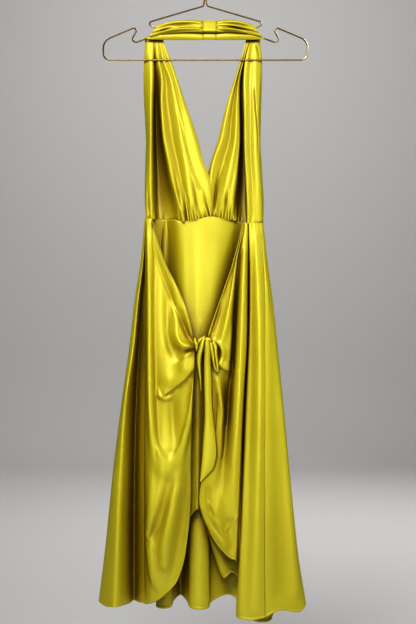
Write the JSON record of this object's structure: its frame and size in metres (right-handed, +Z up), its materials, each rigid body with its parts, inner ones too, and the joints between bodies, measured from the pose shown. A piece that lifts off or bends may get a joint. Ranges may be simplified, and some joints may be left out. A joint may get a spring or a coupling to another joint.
{
  "type": "halter dress on wire hanger",
  "caption": "Satin halter dress with a deep open neckline, gathered waist and a knotted wrap skirt with a curved hem, hung from a plain wire hanger.",
  "frame": {"origin": "inside top of the hanger's hook, where a rail carries it", "axes": "+Z up along the hung dress; the dress's front faces -Y; the wire of the hanger lies in the plane y = 0; -X is the viewer's left"},
  "size_m": [0.4172, 0.0848, 1.3181],
  "materials": {
    "hanger_wire": "polished",
    "satin": "satin"
  },
  "bodies": {
    "root": {"hanger_wire": "hanger_wire", "bodice_left": "satin", "bodice_right": "satin", "neck_band_left": "satin", "neck_band_right": "satin", "neck_join": "satin", "skirt_back": "satin", "skirt_front": "satin", "wrap_left": "satin", "wrap_right": "satin", "knot": "satin", "tail_main": "satin", "tail_narrow": "satin", "tie_loop": "satin"}
  },
  "joints": []
}
